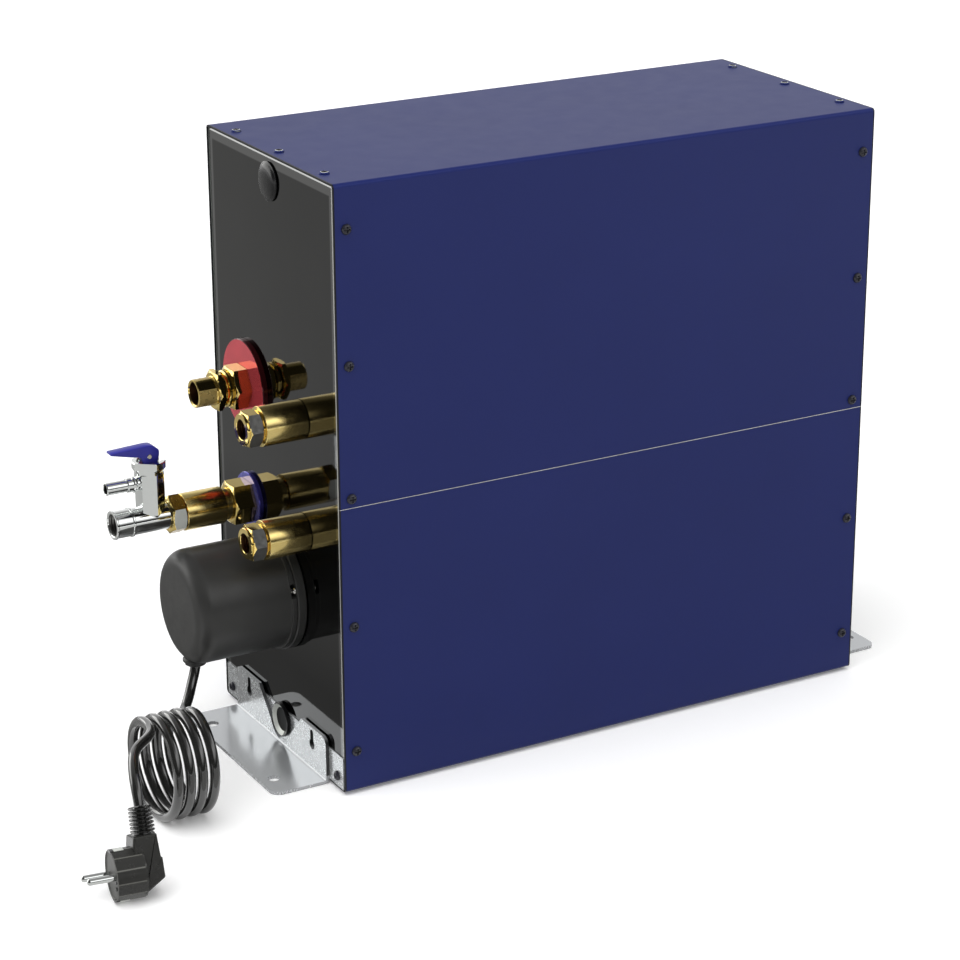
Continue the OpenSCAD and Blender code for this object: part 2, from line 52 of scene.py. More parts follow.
# %% The camera's place and direction
def placed(name, data):
    """A new object in the scene."""
    made = bpy.data.objects.new(name, data)
    bpy.context.collection.objects.link(made)
    return made


def level_axes(back):
    """A level axis and an upright one, both square to the direction back."""
    level = np.cross([0, 0, 1], back)
    level /= np.linalg.norm(level)
    return level, np.cross(back, level)


def stand(thing, axes, place):
    """Turns an object to three axes at a place: these are the four columns of its matrix."""
    table = np.eye(4)
    table[:3] = np.column_stack([*axes, place])
    thing.matrix_world = Matrix(table.tolist())


azimuth, elevation, roll = math.radians(-29.406), math.radians(20.408), math.radians(-0.189)
camera_place = [-1.0490, -1.7648, 0.9329]
back = np.array([math.sin(azimuth) * math.cos(elevation), -math.cos(azimuth) * math.cos(elevation),
                 math.sin(elevation)])
level, upright = level_axes(back)
lens = bpy.data.cameras.new("lens")
lens.lens, lens.sensor_width = 107.44, 36.0
lens.clip_start, lens.clip_end = 0.05, 100.0
camera = placed("camera", lens)
stand(camera, (math.cos(roll) * level + math.sin(roll) * upright,
               -math.sin(roll) * level + math.cos(roll) * upright, back), camera_place)
bpy.context.scene.camera = camera
print("camera at", camera_place)

# %% [markdown]
# ## Surfaces as grids
# Nearly every piece here is a surface with two directions: along the piece and round it. So one helper turns
# a grid of points, rows by columns, into quads. The grid is closed round its columns and capped at its first
# and last rows, so that every piece is a closed shell with its faces outwards.

# %% From a grid of points to a piece
MM = 0.001


def piece(name, points, faces, material=None, body="housing", crease=35.0):
    """A mesh from points in millimetres, smooth except at edges that turn by more than crease degrees."""
    mesh = bpy.data.meshes.new(name)
    mesh.from_pydata((np.asarray(points, float) * MM).tolist(), [], faces)
    mesh.polygons.foreach_set("use_smooth", np.ones(len(mesh.polygons), dtype=bool))
    mesh.set_sharp_from_angle(angle=math.radians(crease))
    if material is not None:
        mesh.materials.append(material)
    made = placed(name, mesh)
    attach(made, body)
    return made


def circle(columns):
    """Evenly spaced angles, once round."""
    return np.linspace(0, 2 * math.pi, columns, endpoint=False)


def grid_faces(rows, columns, first=0, caps=(True, True)):
    """Quads between neighbouring points of a grid that is closed round its columns, and its two end caps."""
    start = first + np.arange(rows - 1)[:, None] * columns
    turn = np.arange(columns)
    after = (turn + 1) % columns
    quads = np.stack([start + turn, start + after, start + columns + after, start + columns + turn], -1)
    faces = quads.reshape(-1, 4).tolist()
    if caps[0]:
        faces.append((first + turn[::-1]).tolist())
    if caps[1]:
        faces.append((first + (rows - 1) * columns + turn).tolist())
    return faces


def joined(parts):
    """Several (points, faces) pairs as one pair, each part's faces counted on from the points before it."""
    points = np.concatenate([np.asarray(p, float) for p, f in parts])
    counts = np.cumsum([0] + [len(p) for p, f in parts])
    return points, [[int(v) + int(n) for v in face] for (p, f), n in zip(parts, counts) for face in f]


def flipped(faces):
    """The same faces, seen from the other side."""
    return [face[::-1] for face in faces]


def moved(shape, x, y, z):
    """A (points, faces) pair with its points shifted."""
    return np.asarray(shape[0], float) + [x, y, z], shape[1]


print("grid helpers ready")

# %% [markdown]
# ## The mains lead
# The lead is a rubber tube 7.4 mm thick. It leaves the element cover through a gland, sags, goes round a coil
# of four open turns that stands on the floor, and runs over to the plug. It is built in three steps: points
# on the route, a smooth line through them, and a ring of points round each place on that line. Each ring's
# frame is carried on from the last, so the tube never twists.

# %% The route, in millimetres, from the gland to the plug
cord_width = 7.4
gland_route = [(-292.5, 0, 80.3), (-293.4, -0.3, 75.5), (-296, -2, 70.5), (-300.5, -6.5, 63), (-306, -13, 58),
               (-312, -21, 56), (-317, -30, 57), (-320.5, -38.5, 61), (-322, -47, 67), (-322.2, -55.5, 72)]
plug_route = [(-361, -74.5, 75), (-364.5, -83, 76), (-370, -91.5, 77.5), (-376.5, -98.5, 78.5),
              (-384, -106, 79), (-391, -116.5, 78.5), (-396, -128, 76.5), (-399.5, -138, 72.5),
              (-401.2, -145.5, 66), (-401.7, -149.3, 58.7)]


def coil_points(turns, first_x, pitch, centre, radius, steps=16):
    """A helix about an axis along X: sine and cosine of the turned angle, moved along X in step with it."""
    angle = np.linspace(0, -2 * math.pi * turns, steps * turns + 1)
    return np.stack([first_x + pitch * angle / (2 * math.pi), centre[0] + radius * np.sin(angle),
                     centre[1] + radius * np.cos(angle)], -1)


def smooth_line(points, step):
    """Cubic spline through points against their distance along the line, then evenly spaced at about step."""
    points = np.asarray(points, float)
    t = np.concatenate([[0], np.cumsum(np.linalg.norm(np.diff(points, axis=0), axis=1))])
    h = np.diff(t)
    n = len(points)
    system, right_side = np.eye(n), np.zeros((n, 3))
    inner = np.arange(1, n - 1)
    system[inner, inner - 1], system[inner, inner] = h[:-1], 2 * (h[:-1] + h[1:])
    system[inner, inner + 1] = h[1:]
    slope = np.diff(points, axis=0) / h[:, None]
    right_side[1:-1] = 6 * (slope[1:] - slope[:-1])
    bend = np.linalg.solve(system, right_side)
    s = np.linspace(0, t[-1], int(t[-1] / step) + 1)
    i = np.clip(np.searchsorted(t, s, side="right") - 1, 0, n - 2)
    a, b, w = (t[i + 1] - s)[:, None], (s - t[i])[:, None], h[i][:, None]
    return (bend[i] * a ** 3 + bend[i + 1] * b ** 3) / (6 * w) + (points[i] / w - bend[i] * w / 6) * a \
        + (points[i + 1] / w - bend[i + 1] * w / 6) * b


def relaxed(line, rounds):
    """Each inner point becomes half itself and a quarter of each neighbour, rounds times."""
    for _ in range(rounds):
        line[1:-1] = 0.25 * line[:-2] + 0.5 * line[1:-1] + 0.25 * line[2:]
    return line


coil = coil_points(4, -322.2, 9.2, (-65.6, 39), 35.3)
cord_line = relaxed(smooth_line(np.concatenate([gland_route, coil, plug_route]), 2.0), 8)


# %% The tube round the route
def carried_frames(line):
    """Directions along the line, and two across it, each carried on from the last with no twist."""
    along = np.gradient(line, axis=0)
    along /= np.linalg.norm(along, axis=1)[:, None]
    side = np.cross(along[0], [0.31, 0.17, 0.93])
    sides = []
    for direction in along:
        side = side - direction * side.dot(direction)
        side = side / np.linalg.norm(side)
        sides.append(side)
    return along, np.array(sides), np.cross(along, sides)


def tube(line, radius, columns=20):
    """Point at distance s along the line and angle v round it: the line plus radius times cosine and sine."""
    along, side, other = carried_frames(line)
    v = circle(columns)
    ring = np.cos(v)[:, None] * side[:, None] + np.sin(v)[:, None] * other[:, None]
    return (line[:, None] + radius * ring).reshape(-1, 3), grid_faces(len(line), columns)


lead = piece("mains_lead", *tube(cord_line, cord_width / 2))
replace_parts(lead, "cord_upper", "cord_coil", "cord_lower")
print("lead has", len(lead.data.vertices), "points")

# %% [markdown]
# ## Finishes
# Each finish is a node material on Object coordinates, in metres, so its grain has a real size.

# %% Node helpers
def principled(name):
    """A new material, its node tree and its main shader."""
    material = bpy.data.materials.new(name)
    material.use_nodes = True
    return material, material.node_tree, material.node_tree.nodes["Principled BSDF"]


def feed(tree, node, **sockets):
    """Gives sockets a number, a colour or a node's output. _ stands for a space, i2 for socket 2."""
    for name, value in sockets.items():
        numbered = name[0] == "i" and name[1:].isdigit()
        socket = node.inputs[int(name[1:]) if numbered else name.replace("_", " ")]
        if isinstance(value, bpy.types.NodeSocket):
            tree.links.new(value, socket)
        else:
            socket.default_value = value
    return node


def add(tree, kind, **sockets):
    """A new node of a kind, its sockets fed."""
    return feed(tree, tree.nodes.new("ShaderNode" + kind), **sockets)


def calc(tree, operation, first, second=0.0):
    """One step of arithmetic on one or two values."""
    step = tree.nodes.new("ShaderNodeMath")
    step.operation = operation
    return feed(tree, step, i0=first, i1=second).outputs[0]


def place(tree, axis):
    """The place along an axis on Object coordinates, in metres."""
    return add(tree, "SeparateXYZ", Vector=add(tree, "TexCoord").outputs["Object"]).outputs[axis]


def direction(tree, axis):
    """The part of the surface's direction along an axis, -1 to 1."""
    return add(tree, "SeparateXYZ", Vector=add(tree, "NewGeometry").outputs["True Normal"]).outputs[axis]


def noise(tree, scale, detail):
    """Cloud noise on Object coordinates; scale is in cells per metre."""
    where = add(tree, "TexCoord").outputs["Object"]
    return add(tree, "TexNoise", Vector=where, Scale=scale, Detail=detail, Roughness=0.55).outputs["Fac"]


def spread(tree, value, low, high, start=0.3, end=0.7):
    """A value between start and end, carried over to the range low to high."""
    return add(tree, "MapRange", Value=value, i1=start, i2=end, i3=low, i4=high).outputs[0]


def blend(tree, factor, first, second):
    """A mix of two colours by a factor."""
    mix = tree.nodes.new("ShaderNodeMix")
    mix.data_type = "RGBA"
    return feed(tree, mix, i0=factor, i6=first, i7=second).outputs[2]


def clouded(tree, scale, detail, first, second):
    """A colour that drifts between two in soft clouds."""
    return blend(tree, spread(tree, noise(tree, scale, detail), 0, 1), first, second)


def bump(tree, value, depth):
    """A bump of depth metres, for a shader's Normal."""
    return add(tree, "Bump", Height=value, Distance=depth, Strength=1.0).outputs[0]


def rgb(red, green, blue):
    """A colour as it is seen on a screen, 0 to 255, as linear light."""
    c = np.array([red, green, blue]) / 255.0
    return tuple(np.where(c <= 0.04045, c / 12.92, ((c + 0.055) / 1.055) ** 2.4).tolist()) + (1.0,)


def shaded(colour, share):
    """A colour with its light multiplied by a share."""
    return tuple(c * share for c in colour[:3]) + (1,)


print("node helpers ready")

# %% [markdown]
# ## Floor and light
# The studio is plain: one wide pale floor, an even sky, and one broad lamp nearly overhead. Polished metal
# shows only what it mirrors, so reflections see a studio of their own: bright behind, a dark line along the
# front horizon, and darkness at the front left, which draws the black lines along the tubes. Three cards are
# seen in reflections alone: the end panel mirrors a grey one on the floor behind it, the nuts' tops a bright
# one above that, and the flat sides of the valve a grey one in front.

# %% The floor
def plane(name, corners, z, material):
    """One face that belongs to the studio: its four (x, y) corners, and one height or four."""
    mesh = bpy.data.meshes.new(name)
    mesh.from_pydata(np.column_stack([corners, np.broadcast_to(z, 4)]).tolist(), [], [(0, 1, 2, 3)])
    mesh.materials.append(material)
    made = placed(name, mesh)
    return made


paper, tree, shader = principled("floor_paper")
camera_lift = calc(tree, "MULTIPLY", add(tree, "LightPath").outputs["Is Camera Ray"], 0.16)
feed(tree, shader, Base_Color=(0.93, 0.93, 0.93, 1), Roughness=0.9, Specular_IOR_Level=0.0,
     Emission_Color=(1, 1, 1, 1), Emission_Strength=camera_lift)
plane("floor", [(-20, -20), (20, -20), (20, 20), (-20, 20)], -0.0002, paper)

# %% Cards for the reflections
def glowing(name, strength, fade=None):
    """Paint that only gives out light. fade = (near, far, share): at X = near it is down to that share."""
    material, tree, shader = principled(name)
    if fade:
        near, far, share = fade
        strength = spread(tree, place(tree, "X"), share * strength, strength, near, far)
    feed(tree, shader, Base_Color=(0, 0, 0, 1), Specular_IOR_Level=0.0, Emission_Color=(1.0, 1.0, 0.98, 1),
         Emission_Strength=strength)
    return material


on_floor = 0.0004
cards = [plane("card_low", [(-0.226, 0.0), (-0.226, 3.0), (-2.4, 3.0), (-2.4, 0.0)], on_floor,
               glowing("card_grey", 0.47, (-0.29, -0.46, 0.42))),
         plane("card_high", [(-2.3, 1.0), (-0.5, 2.6), (-0.5, 2.6), (-2.3, 1.0)], (0.35, 0.35, 1.4, 1.4),
               glowing("card_white", 3.0)),
         plane("card_front", [(-2.0, -2.2), (0.8, -2.2), (0.8, -0.14), (-2.0, -0.14)], on_floor,
               glowing("card_pale", 0.6))]
for card in cards:
    card.visible_camera = card.visible_diffuse = card.visible_shadow = card.visible_transmission = False

# %% Sky and key light
def heights(tree, value, stops):
    """A grey that follows a value between stops of (value, grey)."""
    ramp = tree.nodes.new("ShaderNodeValToRGB")
    tree.links.new(value, ramp.inputs[0])
    elements = ramp.color_ramp.elements
    for element, (position, grey) in zip(list(elements), (stops[0], stops[-1])):
        element.position, element.color = position, (grey, grey, grey, 1)
    for position, grey in stops[1:-1]:
        elements.new(position).color = (grey, grey, grey, 1)
    return ramp.outputs[0]


world = bpy.data.worlds.new("studio")
bpy.context.scene.world = world
world.use_nodes = True
tree = world.node_tree
way = add(tree, "SeparateXYZ", Vector=add(tree, "TexCoord").outputs["Generated"]).outputs
behind = heights(tree, way["Z"], [(0.0, 0.8), (0.2, 0.95), (0.5, 0.8), (0.72, 0.35), (1.0, 0.25)])
ahead = heights(tree, way["Z"], [(0.0, 0.02), (0.16, 0.02), (0.26, 0.4), (0.42, 1.3), (0.64, 1.8),
                                 (0.84, 0.3)])
mirrored = blend(tree, spread(tree, way["Y"], 0, 1, 0.1, -0.1), behind, ahead)
at_left = spread(tree, way["X"], 0, 1, -0.05, -0.3)
not_back = spread(tree, way["Y"], 0, 1, 0.45, 0.2)
mirrored = blend(tree, calc(tree, "MULTIPLY", at_left, not_back), mirrored, (0.05, 0.05, 0.05, 1))
rays = add(tree, "LightPath").outputs
seen = blend(tree, rays["Is Glossy Ray"], (0.42, 0.42, 0.42, 1), mirrored)
feed(tree, tree.nodes["Background"], Strength=1.0,
     Color=blend(tree, rays["Is Camera Ray"], seen, (1, 1, 1, 1)))

sun = bpy.data.lights.new("key", "SUN")
sun.energy, sun.angle = 2.9, math.radians(80)
key = placed("key", sun)
sun_place = np.array([-1.0, -0.5, 3.0])
away = sun_place - [0, 0, 0.2]
away /= np.linalg.norm(away)
stand(key, (*level_axes(away), away), sun_place)
key.visible_glossy = False
bpy.context.scene.view_settings.view_transform = "Standard"
print("studio ready")

# %% [markdown]
# Powder coat is a thick paint: an even colour with a slight orange peel, which shows as a very soft ripple in
# the highlights. The inside of a folded cover stays bare sheet, and its cut ends get near-black painted
# shade.

# %% Powder-coated covers
def powder_coat(name, colour, cut_at):
    """Paint with a fine ripple; grey sheet inside; the ends beyond cut_at metres get near-black painted
    shade.
    """
    material, tree, shader = principled(name)
    shade = clouded(tree, 9, 2, shaded(colour, 0.97), shaded(colour, 1.03))
    outwards = calc(tree, "MULTIPLY", place(tree, "Y"), direction(tree, "Y"))
    shade = blend(tree, calc(tree, "LESS_THAN", outwards, -0.05), shade, rgb(116, 120, 116))
    ends = calc(tree, "GREATER_THAN", calc(tree, "ABSOLUTE", place(tree, "X")), cut_at)
    feed(tree, shader, Base_Color=blend(tree, ends, shade, rgb(20, 21, 27)), Specular_IOR_Level=0.22,
         Roughness=spread(tree, noise(tree, 60, 3), 0.395, 0.425),
         Normal=bump(tree, noise(tree, 900, 2), 0.00002))
    return material


# The covers' cut ends carry near-black painted shade.
navy = powder_coat("navy_powder_coat", rgb(22, 33, 91), 0.22240)

# %% [markdown]
# Metals differ in their colour, in how sharp their mirror image is, and in the marks of their making. Brass
# fittings are turned and polished, chrome is mirror-bright, and galvanised steel shows the flat crystals of
# its zinc, which a Voronoi pattern gives.

# %% Metals
ripple = 0.000002


def polished(name, colour, dark, rough, metal=1.0):
    """A metal whose colour drifts towards dark, with uneven gloss; metal < 1 gives lamp-lit painted
    highlights.
    """
    material, tree, shader = principled(name)
    feed(tree, shader, Metallic=metal, Base_Color=clouded(tree, 70, 4, dark + (1,), colour + (1,)),
         Roughness=spread(tree, noise(tree, 240, 3), rough * 0.8, rough * 1.3),
         Normal=bump(tree, noise(tree, 220, 2), ripple))
    return material


brass = polished("polished_brass", (0.88, 0.69, 0.25), (0.80, 0.60, 0.19), 0.06)
# Some finishes below are painted light and shade for single faces: in bores, on the spout, on nut and collar
# flats.
shaded_bore_brass = polished("shaded_bore", (0.10, 0.045, 0.02), (0.06, 0.03, 0.015), 0.45)
sheen_painted_brass = polished("sheen_painted_brass", (0.50, 0.38, 0.14), (0.44, 0.32, 0.11), 0.26, 0.6)
sunlit_brass = polished("sunlit_top_brass", (0.84, 0.72, 0.34), (0.78, 0.64, 0.28), 0.35, 0.35)
turned_brass = polished("turned_brass", (0.88, 0.70, 0.29), (0.78, 0.60, 0.22), 0.19)
dark_reflection_brass = polished("dark_reflection_brass", (0.36, 0.27, 0.10), (0.28, 0.20, 0.06), 0.22)
dim_thread = polished("shaded_thread", (0.22, 0.22, 0.21), (0.12, 0.12, 0.115), 0.30)
chrome = polished("bright_chrome", (0.86, 0.88, 0.87), (0.80, 0.82, 0.81), 0.04)
nickel = polished("nickel_plate", (0.68, 0.67, 0.64), (0.55, 0.54, 0.52), 0.16)
grey_reflection_flats = polished("painted_grey_reflection", (0.16, 0.16, 0.155), (0.14, 0.14, 0.135), 0.45)
bright_flats = polished("bright_flats", (0.66, 0.68, 0.64), (0.58, 0.60, 0.56), 0.40, 0.3)


def facing(tree, axis):
    """How much the surface faces along an axis, either way: 0 to 1."""
    return calc(tree, "ABSOLUTE", direction(tree, axis))


def washer_plate(name, face, rim, metal):
    """A coloured, polished disc: its flat faces have one colour and its rim a deeper one."""
    material, tree, shader = principled(name)
    flat = spread(tree, facing(tree, "X"), 0, 1, 0.8, 0.95)
    shade = blend(tree, flat, rim + (1,), clouded(tree, 70, 4, shaded(face, 0.9), face + (1,)))
    feed(tree, shader, Metallic=metal, Base_Color=shade, Normal=bump(tree, noise(tree, 220, 2), ripple),
         Roughness=spread(tree, noise(tree, 240, 3), 0.04, 0.07))
    return material


red_washer = washer_plate("red_washer", (0.74, 0.085, 0.11), (0.05, 0.008, 0.01), 0.66)
blue_washer = washer_plate("blue_washer", (0.15, 0.15, 0.56), (0.045, 0.04, 0.22), 0.7)


def blackened_mirror(name, rim):
    """A dark mirror, paler under its top and beyond rim metres from the middle; a painted highlight on the
    front bend.
    """
    material, tree, shader = principled(name)
    side = spread(tree, calc(tree, "ABSOLUTE", place(tree, "Y")), 0, 1, rim, rim + 0.001)
    top = spread(tree, place(tree, "Z"), 0, 1, 0.4428, 0.4436)
    cloud = spread(tree, noise(tree, 12, 3), 0.044, 0.050)
    grey = spread(tree, calc(tree, "MAXIMUM", side, top), cloud, 0.17, 0.0, 1.0)
    shade = add(tree, "CombineColor", i0=grey, i1=grey, i2=grey).outputs[0]
    bend = calc(tree, "LESS_THAN", place(tree, "Y"), -0.0971)
    gloss = spread(tree, noise(tree, 90, 3), 0.030, 0.045)
    feed(tree, shader, Base_Color=blend(tree, bend, shade, (0.44, 0.44, 0.42, 1)),
         Metallic=spread(tree, bend, 1.0, 0.3, 0.0, 1.0), Roughness=spread(tree, bend, gloss, 0.3, 0.0, 1.0),
         Normal=bump(tree, noise(tree, 14, 2), 0.00004))
    return material


# The panel's front bend is painted pale and half matte: a painted highlight along the bend.
panel_steel = blackened_mirror("blackened_mirror", 0.0935)


def galvanised_steel(name, edges_from=None, keyhole_shade_at=None):
    """Zinc crystals: Voronoi cells, each its own grey. Edges above edges_from metres are dark. Two patches
    on each end, keyhole_shade_at metres from the middle line, are black painted shade behind the keyholes."""
    material, tree, shader = principled(name)
    where = add(tree, "TexCoord").outputs["Object"]
    large = add(tree, "TexVoronoi", Vector=where, Scale=170.0).outputs["Color"]
    small = add(tree, "TexVoronoi", Vector=where, Scale=1100.0).outputs["Color"]
    grain = add(tree, "SeparateColor", Color=blend(tree, 0.6, large, small)).outputs[0]
    grey = calc(tree, "MULTIPLY", grain, spread(tree, noise(tree, 45, 3), 0.6, 1.2))
    shade = blend(tree, spread(tree, grey, 0, 1, 0.0, 1.0), (0.46, 0.47, 0.48, 1),
                          (0.72, 0.74, 0.75, 1))
    if keyhole_shade_at is not None:
        off = calc(tree, "SUBTRACT", calc(tree, "ABSOLUTE", place(tree, "Y")), keyhole_shade_at)
        keyhole_shade = calc(tree, "LESS_THAN", calc(tree, "ABSOLUTE", off), 0.009)
        ends = calc(tree, "GREATER_THAN", calc(tree, "ABSOLUTE", place(tree, "X")), 0.2205)
        shade = blend(tree, calc(tree, "MULTIPLY", keyhole_shade, ends), shade, (0.01, 0.01, 0.01, 1))
    if edges_from is not None:
        across = calc(tree, "LESS_THAN", facing(tree, "X"), 0.5)
        above = calc(tree, "GREATER_THAN", place(tree, "Z"), edges_from)
        shade = blend(tree, calc(tree, "MULTIPLY", across, above), shade, (0.05, 0.05, 0.05, 1))
    low = calc(tree, "LESS_THAN", place(tree, "Z"), 0.0033)
    shade = blend(tree, low, shade, (0.44, 0.45, 0.46, 1))
    lying = spread(tree, facing(tree, "Z"), 0.0, 0.75, 0.5, 0.9)
    gloss = spread(tree, lying, spread(tree, grey, 0.18, 0.34, 0.0, 1.0), 0.19, 0.0, 0.75)
    feed(tree, shader, Base_Color=blend(tree, lying, shade, (0.62, 0.64, 0.66, 1)), Metallic=0.62,
         Roughness=gloss, Normal=bump(tree, grain, 0.000004))
    return material


# Black patches on the tray's ends are painted shade, seen through the feet's keyholes.
zinc = galvanised_steel("galvanised_steel", keyhole_shade_at=0.0535)
foot_zinc = galvanised_steel("galvanised_foot", 0.0062)

# %% [markdown]
# The plastics and the rubber are moulded: an even colour, and a fine grain that breaks the gloss.

# %% Plastics and rubber
def moulded(name, colour, rough, grain, depth, gloss=0.5, **more):
    """One even colour with a fine moulded grain of so many cells per metre, and any more sockets."""
    material, tree, shader = principled(name)
    feed(tree, shader, Base_Color=clouded(tree, 35, 4, shaded(colour, 0.88), shaded(colour, 1.1)),
         Roughness=spread(tree, noise(tree, 90, 3), rough * 0.88, rough * 1.12), Specular_IOR_Level=gloss,
         Normal=bump(tree, noise(tree, grain, 2), depth), **more)
    return material


black_moulding = moulded("black_moulding", rgb(42, 42, 41), 0.38, 1500, 0.00003, 0.4)
black_rubber = moulded("black_rubber", rgb(28, 28, 27), 0.12, 800, 0.000004, 0.8, Coat_Weight=0.8,
                       Coat_Roughness=0.06)
plug_moulding = moulded("plug_moulding", rgb(39, 39, 37), 0.26, 1300, 0.00002, 0.55)
# Painted highlight for the plug cap's corners.
edge_highlight = moulded("edge_highlight", rgb(86, 86, 81), 0.35, 1300, 0.00002)
plug_face = moulded("plug_face", rgb(92, 92, 90), 0.5, 700, 0.00005, 0.3)
# Black caps; the same black is painted shade in recesses and holes.
black_cap_and_recess_shade = moulded("black_cap_and_recess_shade", rgb(20, 20, 21), 0.18, 1200, 0.00001, 0.3)
# Painted shade for the drain cap's hollow.
cap_hollow_shade = moulded("cap_hollow_shade", rgb(18, 18, 18), 0.4, 1200, 0.00001, 0.03)
dark_screw = moulded("blackened_steel", rgb(34, 34, 42), 0.3, 900, 0.00001)
blue_lever_skin = moulded("blue_lever_skin", rgb(44, 44, 140), 0.34, 900, 0.00001, 0.35)
foam = moulded("tank_foam", rgb(226, 214, 170), 0.8, 300, 0.0003)
print("finishes:", len(bpy.data.materials))

# %% [markdown]
# ## Turned pieces
# A lathe makes most fittings: a profile of radius and height swept round an axis. Written as a grid, the row
# is the place on the profile and the column is the angle. A hexagon is turned too: its radius is the smaller
# of the profile's and the flat's distance, which is half the width over flats divided by the cosine of the
# angle off that flat. The two meet in the curved chamfer lines of a real nut.

# %% Shapes from profiles
def turned(profile, columns=64, outline=None, cap_ends=(True, True), start=0.0):
    """Point at angle v and profile place (r, z): (r cos v, r sin v, z), with r no more than outline(v)."""
    profile = np.asarray(profile, float)
    v = math.radians(start) + circle(columns)
    r = np.repeat(profile[:, :1], columns, 1)
    if outline is not None:
        r = np.minimum(r, outline(v)[None])
    z = np.repeat(profile[:, 1:], columns, 1)
    points = np.stack([r * np.cos(v), r * np.sin(v), z], -1).reshape(-1, 3)
    return points, grid_faces(len(profile), columns, 0, cap_ends)


def hexagon(width, turn=0.0):
    """Distance of a hexagon's edge at an angle: half its width over flats over the cosine off the flat."""
    return lambda v: width / 2 / np.cos((v - math.radians(turn) + math.pi / 6) % (math.pi / 3) - math.pi / 6)


def nut_profile(width, low, high, face, lower=True):
    """The lathe's profile over a hexagon from low to high: it narrows at 30 degrees to the radius face."""
    corner = width / math.sqrt(3)
    drop = (corner - face) * math.tan(math.radians(30))
    t = np.linspace(0, 1, 7)
    below = np.stack([face + (corner - face) * t, low + drop * t], -1) if lower else [[corner, low]]
    above = np.stack([corner - (corner - face) * t, high - drop + drop * t], -1)
    return np.concatenate([below, above]).tolist()


def rounded_step(r, z, size, turn, steps=4):
    """A quarter circle about (r, z), from its first angle through 90 degrees."""
    a = np.radians(np.linspace(turn, turn + 90, steps))
    return np.stack([r + size * np.cos(a), z + size * np.sin(a)], -1).tolist()


def to_left(points, x, y, z):
    """Turns a shape that stands on Z = 0 so that it points along -X from a place, its own X upwards."""
    points = np.asarray(points, float)
    return np.stack([x - points[:, 2], y + points[:, 1], z + points[:, 0]], -1)


def fitting(name, node, profile, x, y, z, material, **how):
    """A turned piece that points left and stands for a solid of the CAD model."""
    points, faces = turned(profile, **how)
    made = piece(name, to_left(points, x, y, z), faces, material, crease=22)
    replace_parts(made, node)
    return made


def painted(made, material, chosen):
    """Gives a second material to the faces whose centre, in millimetres, and direction pass a test."""
    mesh = made.data
    mesh.materials.append(material)
    centres = np.array([face.center for face in mesh.polygons], float) / MM
    normals = np.array([face.normal for face in mesh.polygons], float)
    for index in np.flatnonzero(chosen(centres, normals)).tolist():
        mesh.polygons[index].material_index = len(mesh.materials) - 1


def off_axis(points, y, z):
    """Distance of points from the line that runs along X at (y, z)."""
    return np.hypot(points[:, 1] - y, points[:, 2] - z)


print("lathe ready")

# %% [markdown]
# ## The water fittings
# The hot outlet is a union: a large nut against the red washer, a grooved neck, a small hexagon and a plain
# spout with a thin, bevelled rim. The cold inlet has a large nut, a neck and a long sleeve.

# %% Hot outlet and cold inlet
water_y, hot_z, cold_z = 46.0, 270.0, 181.0


def nut(node, width, height, face, bore, x, z, lower=True, turn=0.0):
    """A nut of a width over flats and a height, with a shallow step round the bore in its open face."""
    profile = [[0.5, 0]] + nut_profile(width, 0, height, face, lower)
    profile += [[bore, height], [bore - 0.2, height - 0.4], [0.5, height - 0.4]]
    return fitting(node + "_cut", node, profile, x, water_y, z, brass, columns=96,
                   outline=hexagon(width, turn))


hot_nut = nut("hot_nut", 29.6, 11.9, 14.0, 11.2, -226.9, hot_z, lower=False)
# The hot nut's top flat gets a painted highlight of pale, half-matte brass.
painted(hot_nut, sunlit_brass, lambda c, n: (np.abs(n[:, 0]) < 0.05) & (n[:, 2] > 0.8))
spout = [[0.5, 0], [12.4, 0], [12.4, 0.8], [13.6, 1.6], [13.6, 3.2], [12.6, 4.0], [11.2, 4.3], [11.2, 6.2]]
spout += nut_profile(27.6, 6.2, 12.0, 13.2)
spout += [[10.9, 12.0], [10.48, 12.4], [10.48, 26.3], [10.1, 26.9], [9.4, 27.0], [8.5, 26.2], [8.3, 25.6],
          [7.8, 3.0], [0.5, 3.0]]
hot_outlet = fitting("hot_outlet_turned", "hot_outlet", spout, -239.0, water_y, hot_z, brass, columns=96,
                     outline=hexagon(27.6))
# Painted sheen on the spout's outside, all but a band high on each side.
painted(hot_outlet, sheen_painted_brass, lambda c, n: (np.abs(off_axis(c, water_y, hot_z) - 10.4) < 0.2)
        & (np.abs(n[:, 2] - 0.71) > 0.25))
# Painted shade inside the spout's deep bore.
painted(hot_outlet, shaded_bore_brass, lambda c, n: (off_axis(c, water_y, hot_z) < 8.45) & (c[:, 0] > -265.0))
nut("cold_nut", 29.6, 16.0, 14.0, 12.2, -225.9, cold_z, lower=False)
sleeve = [[0.5, 0], [11.9, 0], [11.9, 5.2], [12.8, 5.3]] + rounded_step(13.1, 6.1, 0.8, -90)
sleeve += rounded_step(13.1, 36.5, 0.8, 0) + [[12.4, 37.3], [0.5, 37.3]]
fitting("cold_sleeve_turned", "cold_sleeve", sleeve, -242.1, water_y, cold_z, turned_brass)
valve_nut = nut("valve_nut", 26.0, 11.0, 12.4, 10.6, -279.6, cold_z, turn=30)
# Painted reflections on the valve nut's flats: pale at front and back, dark on the slanted ones.
painted(valve_nut, bright_flats, lambda c, n: (np.abs(n[:, 0]) < 0.05) & (np.abs(n[:, 1]) > 0.9))
painted(valve_nut, dark_reflection_brass, lambda c, n: (np.abs(n[:, 0]) < 0.05) & (np.abs(n[:, 1]) < 0.9))
print("water fittings done")

# %% [markdown]
# ## The coolant stubs
# Each stub is a wide tube that ends in a hexagon collar with a turned face. Its bore is tapped: a thread is a
# profile whose radius swings with the height and the angle, once round for each pitch.

# %% Coolant stubs
per_turn = 96


